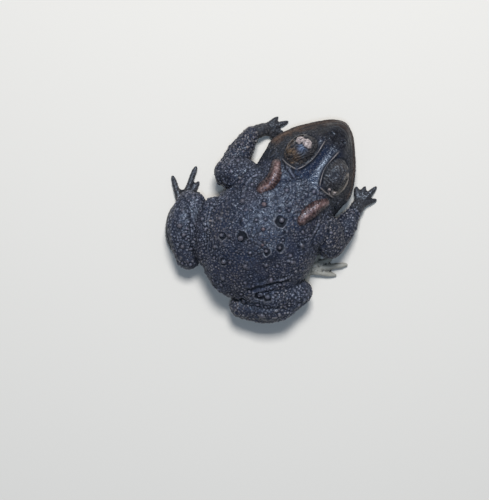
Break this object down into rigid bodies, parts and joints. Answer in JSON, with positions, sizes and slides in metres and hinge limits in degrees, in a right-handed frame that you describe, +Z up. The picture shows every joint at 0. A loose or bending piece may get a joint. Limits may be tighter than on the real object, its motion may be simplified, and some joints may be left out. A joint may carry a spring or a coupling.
{
  "type": "american toad",
  "caption": "Still life-size american toad crouching with its belly on the ground, legs folded, with warty skin, neck glands, head ridges and lidded eyes.",
  "frame": {"origin": "on the floor, under the middle of the bounding box", "axes": "+Z up, -Y towards the snout and +Y towards the rump, +X towards the toad's left side"},
  "size_m": [0.0718, 0.0802, 0.0266],
  "materials": {
    "skin": "damp, nearly black blue-grey skin with a soft sheen over fine granules and warts",
    "limb_skin": "damp, dark grey skin with dense small pale-tipped granules",
    "gland_skin": "damp, reddish brown, finely pored gland skin",
    "eye_gloss": "wet, glossy eye with a gold-flecked dark iris and a black pupil"
  },
  "bodies": {
    "root": {"head": "skin", "torso": "skin", "parotoid_left": "gland_skin", "parotoid_right": "gland_skin", "eye_left": "eye_gloss", "eye_right": "eye_gloss", "upper_arm_left": "limb_skin", "upper_arm_right": "limb_skin", "forearm_left": "limb_skin", "forearm_right": "limb_skin", "hand_left": "limb_skin", "hand_right": "limb_skin", "thigh_left": "limb_skin", "thigh_right": "limb_skin", "shank_left": "limb_skin", "shank_right": "limb_skin", "foot_left": "limb_skin", "foot_right": "limb_skin"}
  },
  "joints": []
}
